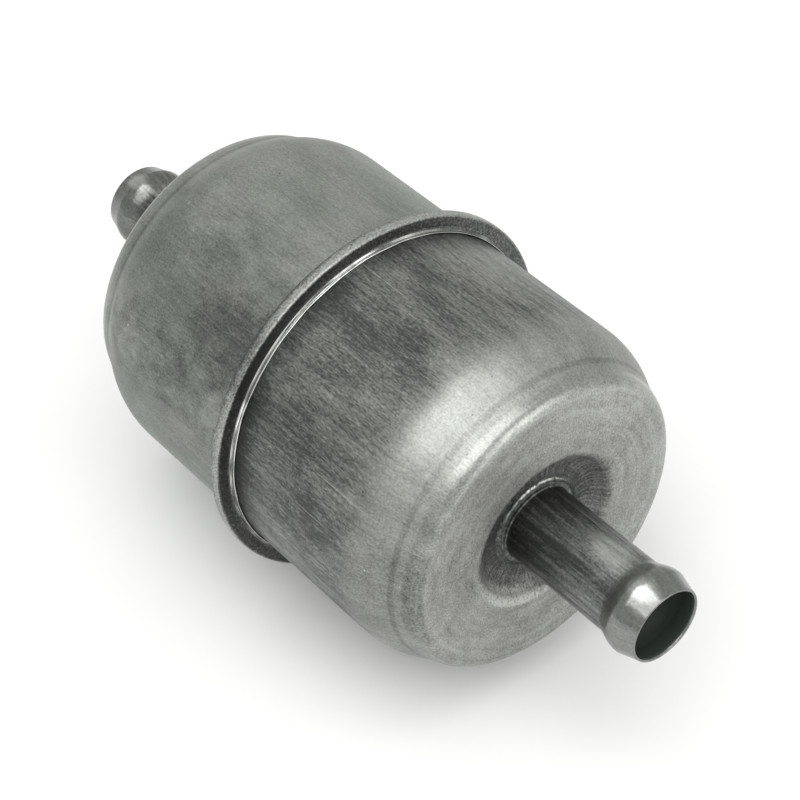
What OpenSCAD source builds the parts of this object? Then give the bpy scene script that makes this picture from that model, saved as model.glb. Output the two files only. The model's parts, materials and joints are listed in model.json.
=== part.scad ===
// In-line fuel filter: two drawn steel cups, rolled together at the seam round a spring-loaded
// pleated element. Every turned piece is turned about the X axis. The seam plane is X = 0, the
// inlet is at -X and the outlet at +X, so fuel flows along +X. Millimetres.

/* [Casing] */
// Outside radius of the cups
body_r = 22; // [21.8:0.1:22.4]
// Thickness of the steel sheet
sheet_t = 0.5; // [0.4:0.05:0.5]
// Distance from the seam plane to the outside of each end face
face_x = 30.2; // [30:0.1:32]
// Outside radius of the rolled seam
rim_r = 24.2; // [24.1:0.1:25]
// Inside radius of the lip that is folded over the outlet cup's flange
lip_r = 22.45; // [22.45:0.05:22.6]
// Radius where the end face starts to roll into the dimple round the tube
dimple_r = 10.4; // [10.3:0.1:11]

/* [Hose tubes] */
// Outside radius of the plain tube, for a 3/8 inch hose
tube_r = 4.76; // [4.6:0.01:4.8]
// Thickness of the tube wall
tube_wall = 0.5; // [0.4:0.05:0.6]
// Largest radius of the hose bead
bead_r = 5.48; // [5.3:0.01:5.8]
// Distance from the seam plane to the middle of the bead's crest
bead_x = 46.4; // [44.4:0.1:46.6]
// Distance from the seam plane to the tube's mouth
mouth_x = 49.2; // [49.2:0.1:52]

/* [Element] */
// Number of pleats in the filter paper
pleats = 36; // [30:1:38]
// Thickness of the filter paper
paper_t = 0.35; // [0.25:0.05:0.4]
// Radius of the outer folds, at the middle of the paper
pleat_out_r = 17.3; // [16:0.1:17.3]
// Radius of the inner folds, at the middle of the paper
pleat_in_r = 8.1; // [8.1:0.1:8.5]
// Outside radius of the perforated core
core_r = 7.7; // [7.6:0.05:7.7]
// Number of rows of holes along the core
core_rows = 10; // [4:1:12]
// Diameter of the spring's wire
spring_wire = 1.2; // [1:0.1:1.3]

/* [Hidden] */
$fn = 96;

steel = [0.55, 0.56, 0.55];
dark_steel = [0.38, 0.39, 0.38];
rubber = [0.1, 0.1, 0.1];
paper = [0.85, 0.73, 0.45];
resin = [0.75, 0.35, 0.15];

// Seam: inlet flange, gasket, outlet flange and folded lip, stacked along X
gasket_t = 0.3;
seam_half = (3 * sheet_t + gasket_t) / 2;
inlet_flange_x = -seam_half + sheet_t;
outlet_flange_x = inlet_flange_x + gasket_t;
lip_x = seam_half - sheet_t;
fold_r = rim_r - seam_half;
root_bend_r = 0.35;
root_r = body_r + root_bend_r;

// Shoulder: a wide first bend, a shallow hollow, a short cone and a tight second bend
first_bend_r = 10;
first_bend_x = 21;
first_bend_angle = 30;
hollow_r = 7.8;
cone_angle = 19.5;
second_bend_r = 1.9;

// Dimple: a lip that turns in by dimple_turn, then a bowl that turns back to the flat bottom
dimple_lip_r = 1.3;
bowl_r = 2.6;
dimple_turn = 60;
floor_x = face_x - (dimple_lip_r + bowl_r) * (1 - cos(dimple_turn));
bowl_floor_r = dimple_r - (dimple_lip_r + bowl_r) * sin(dimple_turn);

// Tube: collars grip the cup's floor from both sides, and a short spigot stands inside
collar_r = 5.4;
outer_collar_t = 0.4;
inner_collar_t = 0.55;
collar_chamfer = 0.12;
spigot_l = 1;
spigot_x = floor_x - sheet_t - inner_collar_t - spigot_l;
bead_rise = 2.6;
crest_half = 0.3;
mouth_r = 4.74;
mouth_edge = 0.12;
mouth_wall = 0.38;
braze_r = 6.1;
braze_t = 0.32;
braze_hollow = 0.05;

// Element, from the outlet seal back to the spring
seal_t = 2;
seal_in_r = 5.6;
cap_t = 0.4;
cap_r = 18.4;
cap_skirt = 3;
cap_hole_r = 5.2;
core_wall = 0.5;
core_ridge_t = 1.15;
potting_t = 1.5;
outlet_cap_x = floor_x - sheet_t - seal_t;
inlet_cap_x = -19.75;
media_out_x = outlet_cap_x - cap_t - potting_t;
media_in_x = inlet_cap_x + cap_t + potting_t;
boss_r = 7;
boss_h = 1.5;
boss_slope = 0.8;
fold_half_out = 0.45;
fold_half_in = 0.3;
clip_t = 0.3;
clip_gap = 0.03;
clip_depth = 4.5;
core_hole_r = 1.5;
core_holes = 6;
hole_reach = 2 * core_r + 2;

// Spring: a cone of turns with a flat closed turn at each end
seat_in_r = 10.9;
seat_out_r = 14.4;
seat_t = 0.5;
seat_rim_h = 1.4;
spring_seat_x = -(face_x - sheet_t) + seat_t;
spring_big_r = 12.4;
spring_small_r = 8.6;
closed_turns = 0.75;
open_turns = 2.5;
steps_per_turn = 28;
wire_sides = 10;

// Points on an arc, about arc_step degrees apart: angle 0 is away from the axis, and 90 is along +X
arc_step = 7;
function arc(centre, r, from, to) =
    let (steps = ceil(abs(to - from) / arc_step))
    [for (i = [0 : steps])
        let (a = from + (to - from) * i / steps) centre + r * [sin(a), cos(a)]];

function mirrored(points) = [for (p = points) [-p[0], p[1]]];
function reversed(points) = [for (i = [len(points) - 1 : -1 : 0]) points[i]];

// One side of a cup's sheet, from the wall's root to the tube's hole, moved in by inset
function cup_side(inset) =
    let (
        c1 = [first_bend_x, body_r - first_bend_r],
        c2 = c1 + (first_bend_r + hollow_r) * [sin(first_bend_angle), cos(first_bend_angle)],
        out = [sin(cone_angle), cos(cone_angle)],
        along = [cos(cone_angle), -sin(cone_angle)],
        cone_start = c2 - hollow_r * out,
        cone_run = (face_x - second_bend_r + second_bend_r * out[0] - cone_start[0]) / along[0],
        c3 = cone_start + cone_run * along - second_bend_r * out,
        c4 = [face_x - dimple_lip_r, dimple_r],
        c5 = [floor_x + bowl_r, bowl_floor_r]
    )
    concat(
        arc(c1, first_bend_r - inset, 0, first_bend_angle),
        arc(c2, -(hollow_r + inset), first_bend_angle, cone_angle),
        arc(c3, second_bend_r - inset, cone_angle, 90),
        arc(c4, dimple_lip_r - inset, 90, 90 + dimple_turn),
        arc(c5, -(bowl_r + inset), 90 + dimple_turn, 90),
        [[floor_x - inset, tube_r]]
    );

// The tube's smooth rise into its bead, half a cosine wave, moved in by inset
rise_steps = 8;
function bead_rise_points(inset) = [
    for (i = [0 : rise_steps])
        let (share = i / rise_steps)
        [bead_x - crest_half - bead_rise * (1 - share),
         tube_r + (bead_r - tube_r) * (1 - cos(180 * share)) / 2 - inset]
];

// Turns an outline of [x, radius] points about the X axis
module turned(outline) {
    rotate([0, 90, 0])
        rotate_extrude()
            polygon([for (p = outline) [p[1], p[0]]]);
}

// A plain ring about the X axis
module ring(x_from, x_to, r_in, r_out) {
    turned([[x_from, r_in], [x_from, r_out], [x_to, r_out], [x_to, r_in]]);
}

// Drawn cup on the inlet side, whose flange wraps round the outlet cup's flange
module inlet_shell() {
    root = [-seam_half - root_bend_r, root_r];
    color(steel)
        turned(concat(
            [[lip_x, lip_r], [seam_half, lip_r]],
            arc([0, fold_r], seam_half, 90, -90),
            arc(root, root_bend_r, 90, 180),
            mirrored(cup_side(0)),
            reversed(mirrored(cup_side(sheet_t))),
            arc(root, root_bend_r + sheet_t, 180, 90),
            arc([0, fold_r], seam_half - sheet_t, -90, 90)
        ));
}

// Drawn cup on the outlet side, with a plain flange
module outlet_shell() {
    root = [lip_x + root_bend_r, root_r];
    color(steel)
        turned(concat(
            [[outlet_flange_x, fold_r], [lip_x, fold_r]],
            arc(root, root_bend_r, 270, 180),
            cup_side(0),
            reversed(cup_side(sheet_t)),
            arc(root, root_bend_r + sheet_t, 180, 270)
        ));
}

module seam_gasket() {
    color(rubber)
        ring(inlet_flange_x, outlet_flange_x, root_r, fold_r);
}

// Outline of the outlet tube: spigot, two collars, plain tube, bead and tapered mouth
function tube_outline() =
    let (inner_r = tube_r - tube_wall)
    concat(
        [[spigot_x, inner_r], [spigot_x, tube_r],
         [floor_x - sheet_t - inner_collar_t, tube_r],
         [floor_x - sheet_t - inner_collar_t, collar_r],
         [floor_x - sheet_t, collar_r], [floor_x - sheet_t, tube_r],
         [floor_x, tube_r], [floor_x, collar_r],
         [floor_x + outer_collar_t - collar_chamfer, collar_r],
         [floor_x + outer_collar_t, collar_r - collar_chamfer],
         [floor_x + outer_collar_t, tube_r]],
        bead_rise_points(0),
        [[bead_x + crest_half, bead_r], [mouth_x - mouth_edge, mouth_r],
         [mouth_x, mouth_r - mouth_edge], [mouth_x, mouth_r - mouth_wall + mouth_edge / 2],
         [mouth_x - mouth_edge, mouth_r - mouth_wall], [bead_x + crest_half, bead_r - tube_wall]],
        reversed(bead_rise_points(tube_wall))
    );

module outlet_tube() {
    color(dark_steel)
        turned(tube_outline());
}

module inlet_tube() {
    color(dark_steel)
        turned(mirrored(tube_outline()));
}

// Fillet of braze between the tube's outer collar and the cup's floor
function braze_outline() = [
    [floor_x, collar_r], [floor_x + braze_t, collar_r],
    [floor_x + braze_t / 3, (collar_r + braze_r) / 2 - braze_hollow], [floor_x, braze_r]
];

module outlet_braze_ring() {
    color(steel)
        turned(braze_outline());
}

module inlet_braze_ring() {
    color(steel)
        turned(mirrored(braze_outline()));
}

// Degrees that a length covers at a radius
function spread(length, r) = length / r * 180 / PI;

// One side of the pleated paper: side is 1 for the outer face and -1 for the inner face
function pleat_path(side) = [
    for (i = [0 : pleats - 1], corner = [0 : 3])
        let (
            at_top = corner < 2,
            r = at_top ? pleat_out_r : pleat_in_r,
            half = at_top
                ? spread(fold_half_out + side * paper_t / 2, r)
                : spread(fold_half_in - side * paper_t / 2, r),
            sign = (corner == 0 || corner == 2) ? -1 : 1,
            a = (i + (at_top ? 0 : 0.5)) * 360 / pleats + sign * half
        )
        (r + side * paper_t / 2) * [cos(a), sin(a)]
];

// Filter paper, folded into pleats that stand round the core
module filter_media() {
    color(paper)
        translate([media_in_x, 0, 0])
            rotate([0, 90, 0])
                linear_extrude(media_out_x - media_in_x)
                    difference() {
                        polygon(pleat_path(1));
                        polygon(pleat_path(-1));
                    }
}

// Steel channel pinched over the pleat where the paper's two ends meet
module pleat_seam_clip() {
    slot_half = fold_half_out + paper_t / 2 + clip_gap;
    top_r = pleat_out_r + paper_t / 2 + clip_gap;
    color(steel)
        translate([media_in_x, 0, 0])
            rotate([0, 90, 0])
                linear_extrude(media_out_x - media_in_x)
                    polygon([
                        [top_r - clip_depth, -slot_half - clip_t], [top_r + clip_t, -slot_half - clip_t],
                        [top_r + clip_t, slot_half + clip_t], [top_r - clip_depth, slot_half + clip_t],
                        [top_r - clip_depth, slot_half], [top_r, slot_half],
                        [top_r, -slot_half], [top_r - clip_depth, -slot_half]
                    ]);
}

// Perforated steel tube that holds the pleats open
module core_tube() {
    core_in_x = inlet_cap_x + cap_t;
    core_out_x = outlet_cap_x - cap_t;
    row_step = (media_out_x - media_in_x) / core_rows;
    color(dark_steel)
        difference() {
            ring(core_in_x, core_out_x, core_r - core_wall, core_r);
            for (row = [0 : core_rows - 1], hole = [0 : core_holes / 2 - 1])
                translate([media_in_x + (row + 0.5) * row_step, 0, 0])
                    rotate([(hole + (1 + 2 * (row % 2)) / 4) * 360 / core_holes, 0, 0])
                        cylinder(h = hole_reach, r = core_hole_r, center = true, $fn = 32);
        }
}

// Open end cap: the fuel leaves through its middle, and its face presses on the seal
module outlet_end_cap() {
    color(steel)
        turned([
            [outlet_cap_x, cap_hole_r], [outlet_cap_x, cap_r], [outlet_cap_x - cap_t - cap_skirt, cap_r],
            [outlet_cap_x - cap_t - cap_skirt, cap_r - cap_t], [outlet_cap_x - cap_t, cap_r - cap_t],
            [outlet_cap_x - cap_t, core_r - core_wall],
            [outlet_cap_x - cap_t - core_ridge_t, core_r - core_wall],
            [outlet_cap_x - cap_t - core_ridge_t, core_r - core_wall - cap_t],
            [outlet_cap_x - cap_t, core_r - core_wall - cap_t], [outlet_cap_x - cap_t, cap_hole_r]
        ]);
}

// Closed end cap, with a raised boss that centres the spring
module inlet_end_cap() {
    color(steel)
        turned([
            [inlet_cap_x - boss_h, 0], [inlet_cap_x - boss_h, boss_r - boss_slope], [inlet_cap_x, boss_r],
            [inlet_cap_x, cap_r], [inlet_cap_x + cap_t + cap_skirt, cap_r],
            [inlet_cap_x + cap_t + cap_skirt, cap_r - cap_t], [inlet_cap_x + cap_t, cap_r - cap_t],
            [inlet_cap_x + cap_t, boss_r - cap_t], [inlet_cap_x + cap_t - boss_h, boss_r - boss_slope - cap_t],
            [inlet_cap_x + cap_t - boss_h, 0]
        ]);
}

// Resin that seals the pleat ends into each cap
module inlet_potting() {
    color(resin)
        ring(media_in_x - potting_t, media_in_x, core_r, cap_r - cap_t);
}

module outlet_potting() {
    color(resin)
        ring(media_out_x, media_out_x + potting_t, core_r, cap_r - cap_t);
}

// Stamped washer that keeps the spring off the cup and centred round the dimple
module spring_seat() {
    color(steel)
        turned([
            [spring_seat_x - seat_t, seat_in_r], [spring_seat_x - seat_t, seat_out_r],
            [spring_seat_x + seat_rim_h, seat_out_r], [spring_seat_x + seat_rim_h, seat_out_r - seat_t],
            [spring_seat_x, seat_out_r - seat_t], [spring_seat_x, seat_in_r]
        ]);
}

// Share of the spring's height and taper reached after a number of turns
function spring_share(turns) = min(1, max(0, (turns - closed_turns) / open_turns));

// Coil spring that presses the element against the outlet seal
module element_spring() {
    turns = 2 * closed_turns + open_turns;
    rings = ceil(turns * steps_per_turn);
    start_x = spring_seat_x + spring_wire / 2;
    end_x = inlet_cap_x - spring_wire / 2;
    points = [
        for (i = [0 : rings], j = [0 : wire_sides - 1])
            let (
                t = turns * i / rings,
                s = spring_share(t),
                x = start_x + (end_x - start_x) * s + spring_wire / 2 * cos(360 * j / wire_sides),
                r = spring_big_r + (spring_small_r - spring_big_r) * s
                    + spring_wire / 2 * sin(360 * j / wire_sides)
            )
            [x, r * cos(360 * t), r * sin(360 * t)]
    ];
    sides = [
        for (i = [0 : rings - 1], j = [0 : wire_sides - 1])
            let (k = (j + 1) % wire_sides, a = i * wire_sides, b = a + wire_sides)
            [a + j, a + k, b + k, b + j]
    ];
    first_cap = [for (j = [wire_sides - 1 : -1 : 0]) j];
    last_cap = [for (j = [0 : wire_sides - 1]) rings * wire_sides + j];
    color(dark_steel)
        polyhedron(points, concat(sides, [first_cap, last_cap]));
}

// Rubber ring between the open end cap and the outlet cup's floor
module outlet_seal() {
    color(rubber)
        ring(outlet_cap_x, outlet_cap_x + seal_t, seal_in_r, bowl_floor_r);
}

inlet_shell();
outlet_shell();
seam_gasket();
inlet_tube();
outlet_tube();
inlet_braze_ring();
outlet_braze_ring();
filter_media();
pleat_seam_clip();
core_tube();
inlet_end_cap();
outlet_end_cap();
inlet_potting();
outlet_potting();
spring_seat();
element_spring();
outlet_seal();
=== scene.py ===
"""In-line fuel filter: the surfaces and finishes of its pieces, built round the CAD frame."""

import json

import bpy
import numpy as np
from bpy.props import FloatProperty, FloatVectorProperty, IntProperty, PointerProperty
from mathutils import Matrix, Vector


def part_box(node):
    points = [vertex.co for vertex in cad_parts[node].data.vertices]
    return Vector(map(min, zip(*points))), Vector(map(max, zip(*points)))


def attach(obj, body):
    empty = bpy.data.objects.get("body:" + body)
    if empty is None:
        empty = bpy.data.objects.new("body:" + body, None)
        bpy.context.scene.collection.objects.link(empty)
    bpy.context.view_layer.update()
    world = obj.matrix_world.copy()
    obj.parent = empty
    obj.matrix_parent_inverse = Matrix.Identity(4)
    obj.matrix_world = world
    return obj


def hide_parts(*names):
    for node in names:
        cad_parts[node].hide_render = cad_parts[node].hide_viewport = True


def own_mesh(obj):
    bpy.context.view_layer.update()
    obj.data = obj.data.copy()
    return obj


bl_info = {
    "name": "In-line fuel filter",
    "version": (1, 0, 0),
    "blender": (4, 5, 0),
    "location": "View3D > Sidebar > Fuel filter",
    "description": "Builds the pieces, finishes and studio of an in-line fuel filter",
    "category": "Object",
}

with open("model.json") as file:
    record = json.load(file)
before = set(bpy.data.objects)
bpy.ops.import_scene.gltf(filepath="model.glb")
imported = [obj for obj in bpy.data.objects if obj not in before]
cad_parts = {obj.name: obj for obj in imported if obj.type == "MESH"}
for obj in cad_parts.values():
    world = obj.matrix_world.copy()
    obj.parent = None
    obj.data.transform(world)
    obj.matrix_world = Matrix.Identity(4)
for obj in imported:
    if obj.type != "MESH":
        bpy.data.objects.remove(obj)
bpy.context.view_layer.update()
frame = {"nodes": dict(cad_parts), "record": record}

# Lengths are in millimetres, and angles in degrees. Angle 0 round the axis is up, and 90 is at -Y.
MM = 0.001
MOUNTS = {mount["name"]: mount for mount in frame["record"]["mounts"]}


def reach(node, axis=0, corner=1):
    """How far a CAD node reaches along an axis: corner 1 is its highest point, and 0 its lowest."""
    return round(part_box(node)[corner][axis] / MM, 3)


# Sizes that come from the frame
BODY_R = MOUNTS["outlet_strap"]["dims"]["r_mm"]
BEAD_R = MOUNTS["outlet_hose"]["dims"]["r_mm"]
BEAD_X = MOUNTS["outlet_hose"]["pos_m"][0] / MM
FACE_X = reach("outlet_shell")
MOUTH_X = reach("outlet_tube")
SEAM_HALF = reach("inlet_shell")
INLET_FLANGE_X = reach("seam_gasket", corner=0)
OUTLET_FLANGE_X = reach("seam_gasket")
FLOOR_X = reach("outlet_braze_ring", corner=0)
SPIGOT_X = reach("outlet_tube", corner=0)
SHEET_T = SEAM_HALF + INLET_FLANGE_X
LIP_X = SEAM_HALF - SHEET_T
FOLD_R = -reach("seam_gasket", axis=1, corner=0)
LOWEST_Z = reach("inlet_shell", axis=2, corner=0)
SEAT_TOP_X = reach("element_spring", corner=0)
SPRING_END_X = reach("element_spring")
SPRING_OUT_R = -reach("element_spring", axis=1, corner=0)

# Seam. The fold is round behind and has a tight corner and a flat lip in front. The lip's sheared edge
# ends in two fine ridges with a groove between them, and the lower one stops just clear of the wall.
ROOT_BEND_R = 0.35
ROOT_R = BODY_R + ROOT_BEND_R
RIM_R = FOLD_R + SEAM_HALF
FOLD_CORNER_R = 0.28
LIP_R = 22.45
LIP_FLAT = 0.06
LIP_BACK_T = 0.3
UPPER_RIDGE_R = 0.08
UPPER_RIDGE_OUT = 0.04
LOWER_RIDGE_R = 0.08
GROOVE_OUT = 0.2
FOOT_LENGTH = 0.5
FOOT_T = 0.08
FOOT_GAP = 0.04

# Shoulder
FIRST_BEND_R = 10.0
FIRST_BEND_X = 21.0
FIRST_BEND_ANGLE = 30.0
HOLLOW_R = 7.8
CONE_ANGLE = 19.5
SECOND_BEND_R = 1.9

# Dimple round the tube
DIMPLE_R = 10.4
DIMPLE_LIP_R = 1.3
BOWL_R = 2.6
DIMPLE_TURN = 60.0

# Hose tube
TUBE_R = 4.76
TUBE_WALL = 0.5
COLLAR_R = 5.4
COLLAR_T = 0.4
COLLAR_CORNER_R = 0.14
COLLAR_FILLET_R = 0.2
INNER_COLLAR_T = 1.0
RISE_X = 43.3
CREST_HALF = 0.2
FALL_BULGE = 0.18
MOUTH_R = 4.78
MOUTH_CORNER_R = 0.16
MOUTH_WALL = 0.4
MOUTH_DEPTH = 1.5 * MOUTH_CORNER_R
BRAZE_R = 6.1
BRAZE_T = 0.32
BRAZE_HOLLOWNESS = 1.6

# Spring
SPRING_WIRE_R = 0.6
SPRING_SMALL_R = 8.6
CLOSED_TURNS = 0.75
OPEN_TURNS = 2.5

# Meshes: the gap between the points added to an outline, and the steps of the spring. Where |x| is
# over SEAM_ZONE, the cups keep only one added point in CUP_THINNED.
CUP_GAP = 0.3
CUP_THINNED = 3
SEAM_ZONE = 1.6
TUBE_GAP = 0.35
BRAZE_GAP = 0.06
STEPS_PER_TURN = 72
STEPS_ROUND_WIRE = 20

# How the pieces stray from their plain shapes. A pair is where a change starts and ends, in |x| or r.
OVAL = 0.02
OVAL_X = (1.5, 8)
DRAW_RIPPLE_X = (21.5, 31.5)
DRAW_RIPPLE_R = (14, 19)
DRAW_RIPPLE_LEAN = 0.35
FACE_WAVE_OUTER_R = (21, 16)
FACE_WAVE_INNER_R = (6.5, 11)
BOWL_WAVE = 0.05
BOWL_WAVE_R = (5.4, 11)
BURR_X = (SEAM_HALF - 0.1, SEAM_HALF + 0.1)
BURR_R = (LIP_R + 0.15, LIP_R)
RIDGE_START_X = (FLOOR_X + 1, FLOOR_X + 3)
RIDGE_END_X = (RISE_X, RISE_X + 1.5)
BEAD_LUMP = 0.03
BEAD_LUMP_X = (RISE_X, RISE_X + 2)
BRAZE_LUMP = 0.22
BRAZE_LUMP_R = (COLLAR_R + 0.1, BRAZE_R)

# Cup finish. A tone runs from 0, dark steel, to 1, light steel. A pair is where a mask starts and where
# it is full, in |x| or r.
SHOULDER_TONE = 0.56
FACE_TONE = 0.66
TONE_BEND = 0.025
CUP_ROUGHNESS = 0.52
LEAST_ROUGHNESS = 0.2
ON_FACE_R = (20.2, 18.2)
ON_FOLD_R = (BODY_R + 0.15, BODY_R + 0.3)
ON_SHOULDER_X = (18.0, 23.5)
FACE_SHADE_R = (17.0, 10.5)
SEAM_SHADE_X = (5.5, 1.4)
# The shoulder's hollow, where a ring of painted shade lies
HOLLOW_START_X = (26.5, 26.9)
HOLLOW_END_X = (27.6, 27.2)
BEND_X = (28.1, 28.6)
BEND_R = (17.8, 18.4)
DIMPLE_SHADE_R = (10.6, 9.6)
ROOT_SHADE_R = (9.8, 6.6)
# Where the painted highlight on the dimple's lip lies
CRESCENT_INNER_R = (8.3, 9.2)
CRESCENT_OUTER_R = (10.7, 10.1)

# The folded lip's finish, with its painted highlight and shade, in x or r
# the lip's face, which has painted shade
LIP_FACE_X = (SEAM_HALF - 0.1, SEAM_HALF - 0.02)
FOOT_X = (LIP_X + 0.2, LIP_X + 0.3)
FOOT_R = (LIP_R + 0.05, LIP_R)
UPPER_RIDGE_X = (SEAM_HALF + 0.14, SEAM_HALF + 0.08)
LOWER_RIDGE_X = (SEAM_HALF + 0.18, SEAM_HALF + 0.3)
# where the crown's painted highlight and the painted shade behind the fold lie
CROWN_R = (RIM_R - 0.35, RIM_R - 0.2)
CROWN_FRONT_X = (-0.3, 0.3)
FOLD_BACK_X = (-0.25, -0.6)

# Marks: their width round the axis and their length along the outline
NEEDLES = (0.1, 0.75)
DRAW_LINES = (0.4, 4.5)
PATCHES = (3.2, 9.0)
SCRATCHES = (0.12, 18.0)
BOWL_MARKS = (0.4, 3.0)
BOWL_MARKS_R = 9.0
RUBBED_PLACES = (4.5, 50.0)
TUBE_LINES = (0.6, 12.0)
TUBE_SCUFFS = (0.2, 1.6)

# Specks: the spacing of the dots and a dot's part of it
DARK_SPECKS = (2.6, 0.055)
LIGHT_SPECKS = (5.3, 0.03)
TUBE_SPECKS = (1.6, 0.07)

# Sizes of the noise that has no direction, the width of the face's rings and how fast these change
# round the axis
GRAIN_SIZE = 0.24
MOTTLE_SIZE = 1.3
BLOOM_SIZE = 7.0
CAST_SIZE = 12.0
TUBE_GRAIN_SIZE = 0.3
RING_WIDTH = 0.9
RING_DRIFT = 1.5

# Where noise is cut into spots: its values at which a spot starts and is full
SCRATCH_CUT = (0.81, 0.85)
CAST_CUT = (0.36, 0.58)
RUBBED_CUT = (0.22, 0.5)

# Tube finish, in |x| or r. The bore's colour starts a little way below the tube's outside.
TUBE_TONE_BEND = 0.02
TUBE_ROUGHNESS = 0.42
ON_BEAD_X = (RISE_X - 0.5, RISE_X + 1.6)
# darker towards the tube's root
ROOT_DARKENING_X = (FLOOR_X + 14, FLOOR_X + 1.5)
# painted shade in the crease behind the bead
CREASE_START_X = (RISE_X - 1.2, RISE_X)
CREASE_END_X = (RISE_X + 1.0, RISE_X)
BORE_DEPTH = (-0.2, -0.32)
BORE_X = (MOUTH_X - 0.1, MOUTH_X - 0.4)
BARE_INNER_R = (COLLAR_R + 0.12, COLLAR_R + 0.22)
BARE_OUTER_R = (COLLAR_R + 0.42, COLLAR_R + 0.32)

# Spots: a ragged spot's x, its angle, half its length along the axis and half its width in degrees.
# A fifth number is how much darker it is, and is negative for a light spot. The tubes' are at |x|, so
# both tubes have them. Some spots are dirt; the ones marked are painted shade and painted light.
# painted shade on the underside of the tight bend
LOW_BEND = (28.5, 92.0, 8.0, 48.0)
# painted highlight on the lower side of the dimple's lip
CRESCENT = (FACE_X, 145.0, 4.0, 38.0)
# the side of the seam's cut edge where its painted highlight falls
BRIGHT_EDGE = (SEAM_HALF, 50.0, 8.0, 85.0)
BARE_BRAZE = (FLOOR_X, 0.0, 8.0, 70.0)
OUTLET_SMUDGES_AND_PAINTED_LIGHT = (
    (8.0, 26.0, 12.0, 16.0, 0.16),
    (15.0, 12.0, 6.0, 12.0, 0.08),
    # painted shade on the lower side, near the seam
    (3.0, 74.0, 16.0, 26.0, 0.23),
    # painted light on the top of the wall, on the far side
    (9.0, -32.0, 12.0, 14.0, -0.2),
    # painted shade on the underside
    (22.0, 92.0, 12.0, 34.0, 0.16),
    # painted highlight on the shoulder
    (26.0, 22.0, 4.5, 42.0, -0.2))
INLET_SMUDGES_AND_PAINTED_SHADE = (
    (-3.0, 52.0, 10.0, 15.0, 0.22),
    (-14.0, 48.0, 24.0, 36.0, 0.24),
    # painted shade on the underside
    (-12.0, 92.0, 22.0, 30.0, 0.2))
TUBE_SMUDGES_AND_HIGHLIGHTS = (
    # painted highlight on the tube's top
    (40.8, 0.0, 3.8, 24.0, -0.5),
    (38.5, 45.0, 6.0, 20.0, 0.2),
    (33.0, 75.0, 5.0, 24.0, 0.06),
    (36.0, -32.0, 4.0, 20.0, -0.12),
    # painted highlight on the bead
    (46.9, 19.0, 2.0, 15.0, -0.55))
RAGGED_SIZE = 2.5
RAGGED = 1.2
SPOT_EDGE = (1.25, 0.25)

# Colours that no setting changes
BORE_COLOUR = (0.058, 0.072, 0.064, 1.0)
BRAZE_COLOUR = (0.62, 0.63, 0.6, 1.0)
TIN_DARK = (0.32, 0.32, 0.31, 1.0)
TIN_LIGHT = (0.68, 0.68, 0.66, 1.0)
WIRE_DARK = (0.1, 0.095, 0.09, 1.0)
WIRE_LIGHT = (0.33, 0.32, 0.31, 1.0)
RUBBER_BLOOM = (0.06, 0.06, 0.058, 1.0)
SKY_COLOUR = (0.99, 1.0, 0.97, 1.0)

# Stage. A lamp is its azimuth, its elevation, its distance and its side, and these two are in metres.
KEY_LIGHT = (26, 67, 0.55, 0.56)
FILL_LIGHT = (108, 20, 0.8, 0.5)
FLOOR_HALF = 3.0
SENSOR_WIDTH = 36.0
CAMERA_SIGHT = (50.5, 41.92)
CAMERA_DISTANCE = 280.2
CAMERA_TARGET = (2.3, 1.67, -0.8)

# ---------------------------------------------------------------- settings

class CasingSettings(bpy.types.PropertyGroup):
    """Sizes and irregularities of the drawn cups"""

    steps_round: IntProperty(name="Steps round", description="Faces round the axis", default=264, min=24)
    shoulder_ripple: FloatProperty(
        name="Shoulder ripple", description="Height of the draw ripples on the shoulder, mm",
        default=0.03, min=0.0, max=0.2)
    face_sag: FloatProperty(
        name="Face waviness", description="How far the end face strays from flat, mm",
        default=0.05, min=0.0, max=0.3)
    edge_burr: FloatProperty(
        name="Edge burr", description="Raggedness of the cut edge at the seam, mm",
        default=0.07, min=0.0, max=0.2)
    light_steel: FloatVectorProperty(
        name="Light steel", description="Reflectance of the clean plated sheet", subtype="COLOR",
        size=4, min=0.0, max=1.0, default=(0.50, 0.505, 0.483, 1.0))
    dark_steel: FloatVectorProperty(
        name="Dark steel", description="Reflectance of the smudged sheet", subtype="COLOR",
        size=4, min=0.0, max=1.0, default=(0.058, 0.061, 0.057, 1.0))
    green_steel: FloatVectorProperty(
        name="Green steel", description="Reflectance where the plating has a green cast", subtype="COLOR",
        size=4, min=0.0, max=1.0, default=(0.43, 0.475, 0.432, 1.0))
    # The bare edge's colour also paints its highlight on the lit side of the seam
    bare_edge: FloatVectorProperty(
        name="Bare edge", description="Reflectance of the sheared edge at the seam", subtype="COLOR",
        size=4, min=0.0, max=1.0, default=(0.95, 0.95, 0.93, 1.0))


class TubeSettings(bpy.types.PropertyGroup):
    """Sizes and irregularities of the beaded hose tubes"""

    steps_round: IntProperty(name="Steps round", description="Faces round the axis", default=240, min=24)
    ridge: FloatProperty(
        name="Draw ridges", description="Height of the ridges along the tube, mm",
        default=0.035, min=0.0, max=0.2)
    tube_steel: FloatVectorProperty(
        name="Tube steel", description="Reflectance of the tube", subtype="COLOR",
        size=4, min=0.0, max=1.0, default=(0.46, 0.465, 0.45, 1.0))
    tube_dark: FloatVectorProperty(
        name="Tube stain", description="Reflectance of the tube's dark stain", subtype="COLOR",
        size=4, min=0.0, max=1.0, default=(0.052, 0.056, 0.051, 1.0))


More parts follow.
